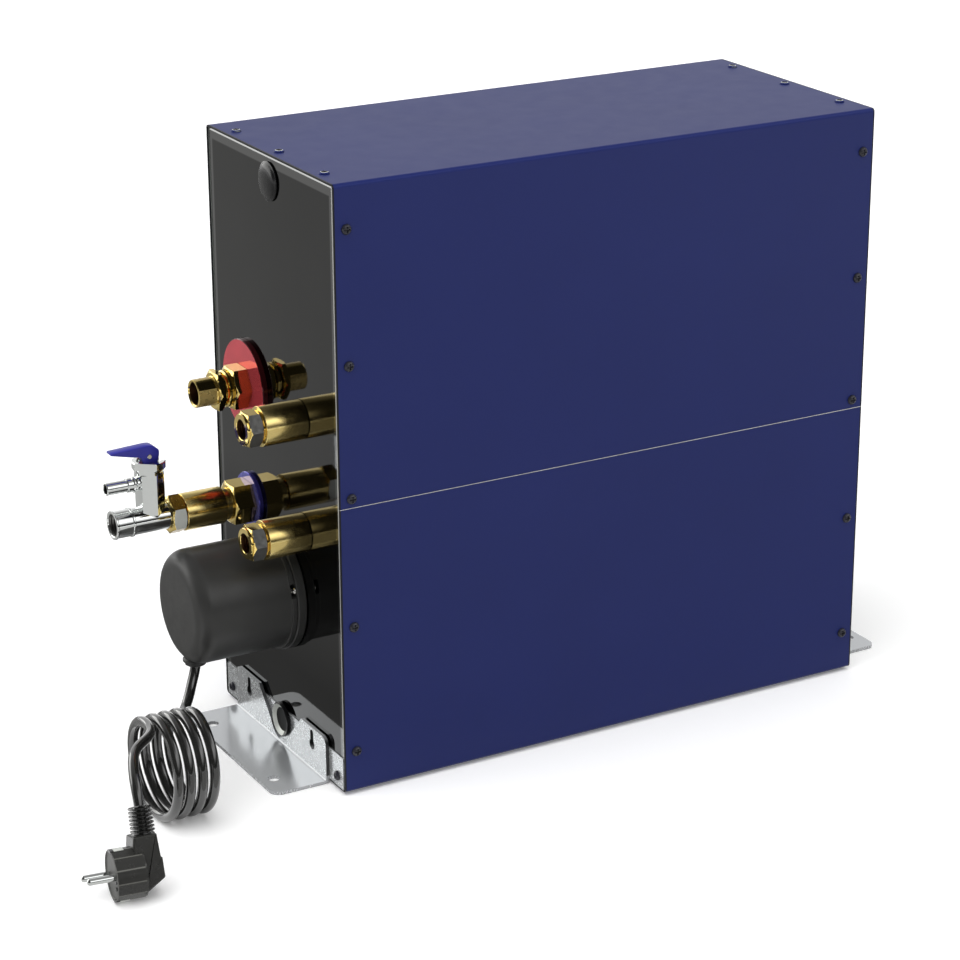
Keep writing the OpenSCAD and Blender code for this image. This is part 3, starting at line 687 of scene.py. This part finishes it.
def tapped_bore(radius, depth, pitch, z, inward=0.35, per_pitch=6):
    """Rows from height z down a bore: the radius swings by inward, one pitch along for each turn round."""
    rows = int(depth / pitch * per_pitch)
    down = np.linspace(0, depth, rows)[:, None]
    v = circle(per_turn)
    wave = np.abs((down / pitch + v / (2 * math.pi)) % 1.0 * 2 - 1)
    r = radius - inward * wave * np.clip(down / pitch, 0, 1)
    points = np.stack([r * np.cos(v), r * np.sin(v), np.repeat(z - down, per_turn, 1)], -1)
    return points.reshape(-1, 3), rows


tube_rows = [[0.5, 0]] + rounded_step(13.9, 0.6, 0.6, -90) + rounded_step(14.0, 32.0, 0.5, 0)
tube_rows += [[6.6, 32.5], [6.6, 3.0], [0.5, 3.0]]
shell = [[6.6, 0], [11.9, 0], [11.9, 0.7]] + nut_profile(23.6, 0.7, 11.4, 11.3)
shell += [[11.0, 11.6], [11.45, 11.9], [11.45, 12.8], [11.0, 13.3], [7.7, 13.3], [7.3, 13.0], [7.0, 12.4]]
points, faces = turned(shell, per_turn, hexagon(23.6), (False, False))
bore, rows = tapped_bore(6.95, 12.4, 1.8, 12.4)
faces += grid_faces(rows, per_turn, len(points) - per_turn, (False, False))
points = np.concatenate([points, bore[per_turn:]])
first = np.arange(per_turn)
last = len(points) - per_turn + first
faces += np.stack([last, np.roll(last, -1), np.roll(first, -1), first], -1).tolist()

stub_y = -41.0
for name, z in (("upper", 269.5), ("lower", 184.0)):
    fitting("coolant_tube_%s_turned" % name, "coolant_tube_" + name, tube_rows, -222.7, stub_y, z,
            turned_brass, columns=per_turn)
    there = to_left(points, -255.4, stub_y, z)
    collar = piece("coolant_collar_%s_cut" % name, there, faces, brass, crease=22)
    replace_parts(collar, "coolant_collar_" + name)
    # Painted shade in the collar's tapped bore.
    painted(collar, shaded_bore_brass, lambda c, n: off_axis(c, stub_y, z) < 7.2)
    # Painted grey reflection on the collar's upright flats.
    painted(collar, grey_reflection_flats, lambda c, n: (np.abs(n[:, 0]) < 0.05) & (np.abs(n[:, 2]) < 0.8)
            & (off_axis(c, stub_y, z) > 11.5) & (c[:, 0] > -266.9) & (c[:, 0] < -256.1))
print("coolant stubs done")

# %% [markdown]
# ## The safety valve
# The valve's pipe carries a six-sided barrel, whose head is a little wider and hollow. The lever's hub sits
# in that hollow, and a slot lets the lever's tail swing down when it is lifted. The pipe's open end is
# tapped, and a grooved tail for the drain hose stands out of the barrel.

# %% The valve's pipe and barrel
barrel_x, barrel_turn = -303.1, math.radians(37)
pipe = [[0.5, 0], [10.0, 0], [10.0, 27.8], [10.3, 28.0]] + rounded_step(10.5, 28.4, 0.4, -90, 3)
pipe += rounded_step(10.5, 29.4, 0.4, 0, 3) + [[10.2, 29.9], [10.2, 41.0]]
pipe += rounded_step(10.4, 41.6, 0.4, -90, 3) + rounded_step(10.4, 42.4, 0.4, 0, 3)
pipe += [[8.9, 42.8], [8.3, 42.2]]
ridge = np.arange(9)
pipe += np.stack([np.where(ridge % 2 == 0, 8.3, 7.7), 41.6 - 1.1 * ridge], -1).tolist()
pipe += [[7.6, 28.0], [0.5, 28.0]]
pipe_points, pipe_faces = turned(pipe, 72)


def barrel(profile, columns=72):
    """A hexagon turned to face front and left, from rows of corner radius and height above the pipe."""
    corner, height = np.array(profile).T[:, :, None]
    v = circle(columns)
    r = corner * np.minimum(hexagon(math.sqrt(3))(v), 0.985)
    v = v + barrel_turn - math.pi / 2
    points = np.stack([barrel_x + r * np.cos(v), water_y + r * np.sin(v), 0 * r + height + cold_z], -1)
    return points.reshape(-1, 3), grid_faces(len(profile), columns)


post = barrel([[0.3, 2.6], [9.0, 2.6], [10.9, 5.2], [10.9, 35.9], [0.3, 35.9]])
shape = joined([(to_left(pipe_points, -290.8, water_y, cold_z), pipe_faces), post])
valve_body = piece("valve_pipe_and_barrel", *shape, chrome, crease=22)
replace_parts(valve_body, "valve_body")
painted(valve_body, dim_thread, lambda c, n: (off_axis(c, water_y, cold_z) < 8.2) & (c[:, 0] < -318))
print("valve body done")

# %% The barrel's hollow head
milled, mill_turn = 9.46, math.radians(233)


def head_ring(rows, slot, count=145):
    """A ring cut open by a slot. It is round outside, but milled flush with the barrel at front and back."""
    radius, z = np.array(rows).T
    start = np.arcsin(slot / radius)
    angle = start + np.linspace(0, 1, count)[:, None] * (2 * math.pi - 2 * start)
    flat = milled / np.maximum(np.abs(np.cos(angle - mill_turn)), 1e-6)
    r = np.where(radius > milled, np.minimum(radius, flat), radius)
    points = np.stack([barrel_x + r * np.cos(angle), water_y + r * np.sin(angle), 0 * r + z], -1)
    return points.reshape(-1, 3), grid_faces(count, len(rows))


ring = head_ring([[10.6, 216.8], [10.7, 218.4], [12.2, 220.6], [12.5, 221.2], [12.5, 225.4], [12.0, 226.1],
                  [9.2, 226.1], [8.8, 225.7], [8.8, 216.8]], 5.0)
disc = moved(turned([[0.4, 217.0], [8.9, 217.0], [8.9, 218.0], [0.4, 218.0]], 48), barrel_x, water_y, 0)
head = piece("barrel_head", *joined([ring, disc]), chrome, crease=22)
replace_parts(head, "valve_collar")
print("barrel head done")

# %% Hose tail and hinge pin
tail_z, pin_z = 209.5, 224.5
tail = [[0.4, -4.5], [5.2, -4.5], [5.2, -1.5], [6.2, 0.2], [6.0, 1.0], [5.4, 1.8], [5.3, 5.6], [5.0, 6.0],
        [4.15, 6.2], [4.15, 6.8], [4.6, 7.0], [4.6, 21.6], [4.3, 22.1], [3.9, 22.2], [3.6, 21.8], [3.5, 8.0],
        [0.4, 8.0]]
hose_tail = fitting("hose_tail_turned", "valve_hose_tail", tail, -315.3, water_y, tail_z, chrome)
# The tail's mouth is painted black: painted shade inside its bore.
painted(hose_tail, black_cap_and_recess_shade, lambda c, n: off_axis(c, water_y, tail_z) < 3.58)


def crosswise(profile, columns, x, z):
    """A turned shape whose axis runs across the lever, from front to back through (x, z)."""
    points, faces = turned(profile, columns)
    return np.stack([points[:, 0] + x, water_y - points[:, 2], points[:, 1] + z], -1), faces


pin_profile = [[0.2, -8.6], [1.2, -8.6], [1.5, -8.3], [1.5, 8.3], [1.2, 8.6], [0.2, 8.6]]
pin = piece("hinge_pin", *crosswise(pin_profile, 32, barrel_x, pin_z), nickel)
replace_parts(pin, "lever_pin")
print("hose tail and pin done")

# %% [markdown]
# The lever is a wedge of blue plastic. Its side outline is drawn once; each row of the grid is that outline
# moved inwards a little, so the edges come out rounded.

# %% The lever
def rounded_outline(corners, radius, steps=5):
    """A closed outline whose corners are quadratic curves between points a set distance from each corner."""
    corners = np.asarray(corners, float)
    before, after = np.roll(corners, 1, 0) - corners, np.roll(corners, -1, 0) - corners
    long_before, long_after = (np.linalg.norm(side, axis=1)[:, None] for side in (before, after))
    reach = np.minimum(radius, 0.45 * np.minimum(long_before, long_after))
    a, b = corners + before / long_before * reach, corners + after / long_after * reach
    t = np.linspace(0, 1, steps)[None, :, None]
    curves = (1 - t) ** 2 * a[:, None] + 2 * t * (1 - t) * corners[:, None] + t ** 2 * b[:, None]
    return curves.reshape(-1, 2)


def moved_in(outline, distance):
    """Every point moves by distance towards the inside, square to the line through its two neighbours."""
    along = np.roll(outline, -1, 0) - np.roll(outline, 1, 0)
    along /= np.linalg.norm(along, axis=1)[:, None]
    return outline + distance * np.stack([-along[:, 1], along[:, 0]], -1)


wedge = [(-4.5, -2.8), (4.5, -2.8), (7, 5.5), (7, 9.5), (2, 13.5), (-2, 14), (-30.5, 12.7), (-30.5, 11),
         (-14, 7), (-7, 5.6)]
outline = rounded_outline(wedge, 1.4)
levels = [(0.62, -4.3), (0.22, -4.14), (0.0, -3.7), (0.0, 3.7), (0.22, 4.14), (0.62, 4.3)]
rows = [np.insert(moved_in(outline, inset), 1, side, axis=1) for inset, side in levels]
points = np.concatenate(rows) + [barrel_x, water_y, pin_z]
faces = grid_faces(len(rows), len(outline))
lever = piece("blue_lever", points, faces, blue_lever_skin, body="lever", crease=40)
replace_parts(lever, "valve_lever")
stud = [[0.2, -4.75], [1.5, -4.75], [1.8, -4.4], [1.8, 4.4], [1.5, 4.75], [0.2, 4.75]]
piece("lever_stud", *crosswise(stud, 24, barrel_x - 0.8, 229.9), nickel, body="lever")
print("lever done")

# %% [markdown]
# ## The element cover
# A deep black cap covers the electric element. It has a soft edge, a lip with three notches for its screws,
# and a boss below for the cable gland.

# %% Element cover, base and gland
element_x, element_z, gland_x = -229.9, 126.5, -292.5
screw_angles, screw_circle, notch_radius = np.array([42.0, 162.0, 282.0]), 40.25, 4.4


def notched(profile, notch_depth, columns=360):
    """A turned shape whose radius gives way to a round notch about each screw, up to a depth."""
    points, faces = turned(profile, columns)
    v = np.degrees(np.arctan2(points[:, 0], points[:, 1]))
    side = screw_circle * np.radians(np.min(np.abs((v[:, None] - screw_angles + 180) % 360 - 180), axis=1))
    wall = screw_circle - np.sqrt(np.clip(notch_radius ** 2 - side ** 2, 0, None))
    r = np.hypot(points[:, 0], points[:, 1])
    cut = (side < notch_radius) & (points[:, 2] < notch_depth) & (r > wall)
    points[:, :2] *= np.where(cut, wall / np.maximum(r, 1e-6), 1.0)[:, None]
    return points, faces


cap = [[0.5, 0], [43.3, 0], [43.6, 0.4], [43.6, 3.2], [43.2, 3.6], [42.4, 3.7], [42.25, 4.6], [42.25, 30.0]]
cap += rounded_step(29.25, 62, 13, 0, 12) + [[14, 75.3], [0.5, 75.4]]
points, faces = notched(cap, 3.65)
boss = turned([[0.5, 83.25], [8.6, 83.25], [9.25, 83.9], [9.25, 85.4], [8.2, 86.6], [8.6, 90.0], [10.5, 96.0],
               [0.5, 96.0]], 48)
shape = joined([(to_left(points, element_x, 0, element_z), faces), moved(boss, gland_x, 0, 0)])
cover = piece("element_cap", *shape, black_moulding, crease=28)
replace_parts(cover, "element_cover")
base = [[0.5, 0], [44.3, 0], [45.0, 0.7], [45.0, 6.3], [44.4, 7.0], [0.5, 7.0]]
fitting("element_ring", "element_base", base, -222.7, 0, element_z, black_moulding, columns=128)
gland = turned([[0.5, 81.05], [7.2, 81.05], [7.75, 81.5], [7.75, 83.05], [0.5, 83.05]], 48)
gland = piece("gland_ring", *moved(gland, gland_x, 0, 0), black_moulding)
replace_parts(gland, "cable_gland")
print("element cover done")

# %% [markdown]
# ## Plugs in the sheet
# Two unused openings for the tank's connections are closed by black caps: a domed one under the top, and a
# dished one with a raised rim at the foot.

# %% Caps
drain_z = 20.5
a = np.radians(np.linspace(15, 90, 6))
dome = [[0.3, 0], [14.0, 0], [14.25, 0.3], [14.25, 1.0], [13.5, 1.3]]
dome += np.stack([0.3 + 12.9 * np.cos(a), 1.3 + 2.5 * np.sin(a)], -1).tolist()
fitting("top_cap", "top_hole_plug", dome, -222.7, 0, 432.5, black_cap_and_recess_shade)
dish = [[0.3, 0], [13.0, 0], [13.25, 0.3], [13.25, 2.4], [12.9, 2.9], [12.3, 3.0], [11.8, 2.8], [11.2, 2.2],
        [9.2, 0.9], [6.0, 0.8], [0.3, 0.8]]
drain = fitting("drain_cap", "drain_plug", dish, -223.7, 0, drain_z, black_cap_and_recess_shade)
# Painted light and shade in the dish: a pale crescent on the left of its wall, a near-black floor.
painted(drain, bright_flats, lambda c, n: (np.abs(off_axis(c, 0, drain_z) - 10.9) < 1.6) & (c[:, 1] > -4))
painted(drain, cap_hollow_shade, lambda c, n: off_axis(c, 0, drain_z) < 9.3)
print("caps done")

# %% [markdown]
# ## Screws
# Pan-head screws with a cross recess hold the covers, the tray and the element's cap. A head is a dome over
# rings of points, and those inside a cross of two bars are sunk. Each set is one mesh, with a head added at
# every place.

# %% One screw head, and all its copies
def pan_head(diameter, height, columns=32):
    """A dome, steep at its rim, whose points inside a cross of two bars are lowered by half its height."""
    a = np.radians(np.linspace(0, 90, 8))
    r = np.concatenate([[0.45 * diameter, 0.5 * diameter], diameter / 2 * (0.35 + 0.65 * np.cos(a[1:])),
                        diameter * np.array([0.15, 0.12, 0.08, 0.04, 0.01])])
    z = np.concatenate([[0, 0], height * np.sin(a[1:]), np.full(5, height)])
    points, faces = turned(np.stack([r, z], -1), columns)
    x, y = np.abs(points[:, 0]) / diameter, np.abs(points[:, 1]) / diameter
    cross = (np.minimum(x, y) < 0.06) & (np.maximum(x, y) < 0.28) & (points[:, 2] > 0.6 * height)
    points[:, 2] -= np.where(cross, 0.5 * height, 0.0)
    return points, faces


def copies(head, places, turn):
    """A head turned by a 3 by 3 table, and one copy of it at each place."""
    points = head[0] @ np.array(turn, float).T
    return joined([(points + place, head[1]) for place in np.asarray(places, float)])


def off_screw(points):
    """Distance of points from the upright axis of the nearest screw in the top."""
    across = (points[:, 1] + row_y / 2) % row_y - row_y / 2
    return np.hypot(np.abs(points[:, 0]) - screw_x, across)


screw_x, row_y, tray_x, tray_y, tray_z = 214, 70.5, 223.7, 89.4, 11.8
screw_head = pan_head(7.5, 2.2)
front = [(x, -101.7, z) for x in (-screw_x, screw_x) for z in 34.1 + 96.7 * np.arange(5)]
top = [(x, y, 452.7) for x in (-screw_x, screw_x) for y in (-row_y, 0, row_y)]
element = [(element_x, screw_circle * math.cos(a), element_z + screw_circle * math.sin(a))
           for a in np.radians(screw_angles)]
forward, backward = [[1, 0, 0], [0, 0, -1], [0, 1, 0]], [[-1, 0, 0], [0, 0, 1], [0, 1, 0]]
leftward, rightward = [[0, 0, -1], [0, 1, 0], [1, 0, 0]], [[0, 0, 1], [0, 1, 0], [-1, 0, 0]]
screw_sets = {
    "front_cover_screws": copies(screw_head, front, forward),
    "back_cover_screws": copies(screw_head, [(x, -y, z) for x, y, z in front], backward),
    "top_cover_screws": copies(pan_head(7.5, 1.3), top, np.eye(3)),
    "tray_screws": joined([copies(screw_head, [(x, y, tray_z) for y in (-tray_y, tray_y)], turn)
                           for x, turn in ((-tray_x, leftward), (tray_x, rightward))]),
    "element_screws": copies(pan_head(6, 2.2), element, leftward),
}
for name, (points, faces) in screw_sets.items():
    finish = navy if name == "top_cover_screws" else nickel if name == "element_screws" else dark_screw
    heads = piece(name + "_cut", points, faces, finish, crease=30)
    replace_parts(heads, name)
    if name == "top_cover_screws":
        # Each top screw gets a ring of painted highlight, and painted shade in its recess.
        painted(heads, bright_flats, lambda c, n: (off_screw(c) > 2.2) & (off_screw(c) < 2.9))
        painted(heads, black_cap_and_recess_shade, lambda c, n: off_screw(c) < 2.2)
print("screws:", sum(len(points) for points, faces in screw_sets.values()), "points")

# %% The sheet's edge along the seam, in bright nickel as a painted highlight
def edging(y, side):
    """A thin half-round bead along X: its profile is a half circle of 0.3 mm, its ends are flat."""
    a = np.radians(np.linspace(-90, 90, 7))
    arch = np.stack([0.22 * np.cos(a), 0.3 * np.sin(a)], -1)
    profile = np.concatenate([[[-0.05, -0.3]], arch, [[-0.05, 0.3]]])
    points = np.stack([np.repeat([[-223.4], [223.4]], len(profile), 1),
                       np.repeat(y + side * profile[None, :, 0], 2, 0),
                       np.repeat(220.5 + profile[None, :, 1], 2, 0)], -1).reshape(-1, 3)
    faces = grid_faces(2, len(profile))
    return points, faces if side > 0 else flipped(faces)


piece("seam_edges", *joined([edging(-101.5, -1), edging(101.5, 1)]), nickel)
print("seam edges done")

# %% [markdown]
# ## The mains plug
# The plug is drawn lying on its back: its pin face on Z = 0, its cable leaving along Y. A turn and a shift
# then lay it on the floor. Its cap is twelve-sided, with a metal strip let into its top and bottom for the
# earth. A block behind it rises to the strain relief, whose ribs let the cable bend without a kink.

# %% Where the plug lies
lean, turn = math.radians(70), math.radians(-8)
tilt = np.array([[1, 0, 0], [0, math.cos(lean), -math.sin(lean)], [0, math.sin(lean), math.cos(lean)]])
swing = np.array([[math.cos(turn), -math.sin(turn), 0], [math.sin(turn), math.cos(turn), 0], [0, 0, 1]])
lay_down = swing @ tilt @ np.array([[0, 0, 1], [0, 1, 0], [-1, 0, 0]])
plug_place = [-428.5, -160.5, 18.0]


def at_plug(points):
    """The plug's own coordinates turned by one table and moved to the middle of its pin face."""
    return np.asarray(points, float) @ lay_down.T + plug_place


def from_plug(points):
    """The way back, from the scene to the plug's own coordinates."""
    return (points - plug_place) @ lay_down


# %% Cap, block and earth strips
def faceted(radius, sides):
    """Distance of a polygon's edge at an angle, with its corners a little rounded off."""
    step = 2 * math.pi / sides
    return lambda v: np.minimum(radius * math.cos(step / 2) / np.cos((v + step / 2) % step - step / 2),
                                radius * 0.992)


cap_rows = [[0.4, 0.9], [16.2, 0.9], [16.7, 0.0], [17.3, 0.0], [17.9, 0.6], [17.9, 20.0], [17.2, 21.2],
            [0.4, 21.2]]
cap = turned(cap_rows, 240, faceted(17.9, 12), start=15)
side_view = [(19.0, -15.0), (34.2, -5.5), (33.9, 8.0), (32.9, 8.6), (31.9, 24.6), (15.8, 24.2), (14.5, 17.0)]
block_line = rounded_outline([(z, y) for z, y in side_view], 0.9, 4)
widths = [(1.2, -11.0), (0.35, -10.6), (0.0, -9.9), (0.0, 9.9), (0.35, 10.6), (1.2, 11.0)]
block = np.concatenate([np.insert(moved_in(block_line, inset)[:, ::-1], 0, x, axis=1) for inset, x in widths])
plug_shell = joined([cap, (block, flipped(grid_faces(len(widths), len(block_line))))])
plug = piece("plug_shell", at_plug(plug_shell[0]), plug_shell[1], plug_moulding, crease=9)
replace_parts(plug, "plug_body")


def cap_corners(own):
    """The narrow faces along the cap's twelve corners: near the outside, at a corner's angle."""
    v = np.degrees(np.arctan2(own[:, 1], own[:, 0]))
    return (np.hypot(own[:, 0], own[:, 1]) > 17.2) & (np.abs(v % 30 - 15) < 1.6) & (own[:, 2] < 20)


# A painted highlight along each of the cap's twelve corners.
painted(plug, edge_highlight, lambda c, n: cap_corners(from_plug(c)))
painted(plug, plug_face, lambda c, n: from_plug(c)[:, 2] < 1.0)
v = np.linspace(-0.34, 0.10, 9)
around = np.concatenate([np.stack([18.0 * np.sin(v), 18.0 * np.cos(v)], -1),
                         np.stack([16.2 * np.sin(v), 16.2 * np.cos(v)], -1)[::-1]])


def inlay(ends, side, name, material):
    """A curved strip let into the cap's top (side 1) or bottom (side -1), between two depths."""
    rows = [np.insert(around * [1, side], 2, depth, axis=1) for depth in ends]
    faces = grid_faces(2, len(around))
    return piece(name, at_plug(np.concatenate(rows)), faces if side < 0 else flipped(faces), material)


# The earth strips are bright metal; the black slots at the face are painted shade.
for ends, name, finish in ((2.6, 9.2), "strip", bright_flats), ((-0.04, 2.5), "slot", black_cap_and_recess_shade):
    inlay(ends, 1, "earth_%s_top" % name, finish)
    inlay(ends, -1, "earth_%s_bottom" % name, finish)
print("plug shell done")

# %% Pins, strain relief
nose = np.radians(np.linspace(0, 80, 6))
pin_rows = [[0.2, 0.6], [2.4, 0.6], [2.4, -16.6]]
pin_rows += np.stack([2.4 * np.cos(nose), -16.6 - 2.4 * np.sin(nose)], -1)[1:].tolist()
pins = joined([moved(turned(pin_rows, 32), x, 0, 0) for x in (-9.5, 9.5)])
eye = turned([[0.2, 0.5], [1.5, 0.5], [1.5, -0.03], [0.2, -0.03]], 24)
eyes = joined([moved(eye, -9, -8, 0), moved((eye[0] * [0.7, 0.7, 1], eye[1]), -11.6, -3.6, 0)])
# The pin face's holes are black discs: painted shade.
piece("plug_face_holes", at_plug(eyes[0]), flipped(eyes[1]), black_cap_and_recess_shade)
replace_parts(piece("plug_pins_turned", at_plug(pins[0]), flipped(pins[1]), chrome), "plug_pins")
relief = [[0.4, 17.9], [8.0, 17.9], [8.0, 24.3], [7.5, 24.8]]
for k in range(7):
    low, r = 25.0 + 2.55 * k, 8.45 - 0.06 * k
    relief += [[r - 2.6, low - 0.1], [r - 2.6, low + 0.7], [r - 0.3, low + 0.95], [r, low + 1.2],
               [r, low + 1.85], [r - 0.3, low + 2.1]]
relief += [[5.0, 42.4], [4.2, 42.6], [0.4, 42.6]]
points, faces = turned(relief, 48)
points = points[:, [0, 2, 1]] * [1, 1, -1] + [0, 0, 25]
relief = piece("ribbed_relief", at_plug(points), faces, black_rubber, crease=30)
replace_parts(relief, "plug_strain_relief")
print("plug done")

# %% [markdown]
# ## Dressing the solids
# A solid whose shape is right stays and takes its finish here.

# %% A finish for every solid
finishes = (
    (navy, "upper_cover lower_cover top_cover_screws"), (foam, "insulated_core"), (zinc, "base_tray"),
    (panel_steel, "end_panel_left end_panel_right"), (foot_zinc, "foot_bracket_left foot_bracket_right"),
    (dark_screw, "front_cover_screws back_cover_screws tray_screws"), (black_cap_and_recess_shade, "top_hole_plug drain_plug"),
    (red_washer, "hot_disc"), (blue_washer, "cold_disc"), (blue_lever_skin, "valve_lever"),
    (brass, "hot_nut hot_outlet cold_nut cold_sleeve valve_nut"),
    (brass, "coolant_tube_upper coolant_collar_upper coolant_tube_lower coolant_collar_lower"),
    (chrome, "valve_body valve_collar valve_hose_tail"), (nickel, "lever_pin element_screws plug_pins"),
    (black_moulding, "element_base element_cover cable_gland plug_body"),
    (black_rubber, "cord_upper cord_coil cord_lower plug_strain_relief"))
for finish, names in finishes:
    for name in names.split():
        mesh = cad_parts[name].data
        mesh.materials.clear()
        mesh.materials.append(finish)
lead.data.materials.append(black_rubber)
print("dressed", sum(len(names.split()) for finish, names in finishes), "solids")
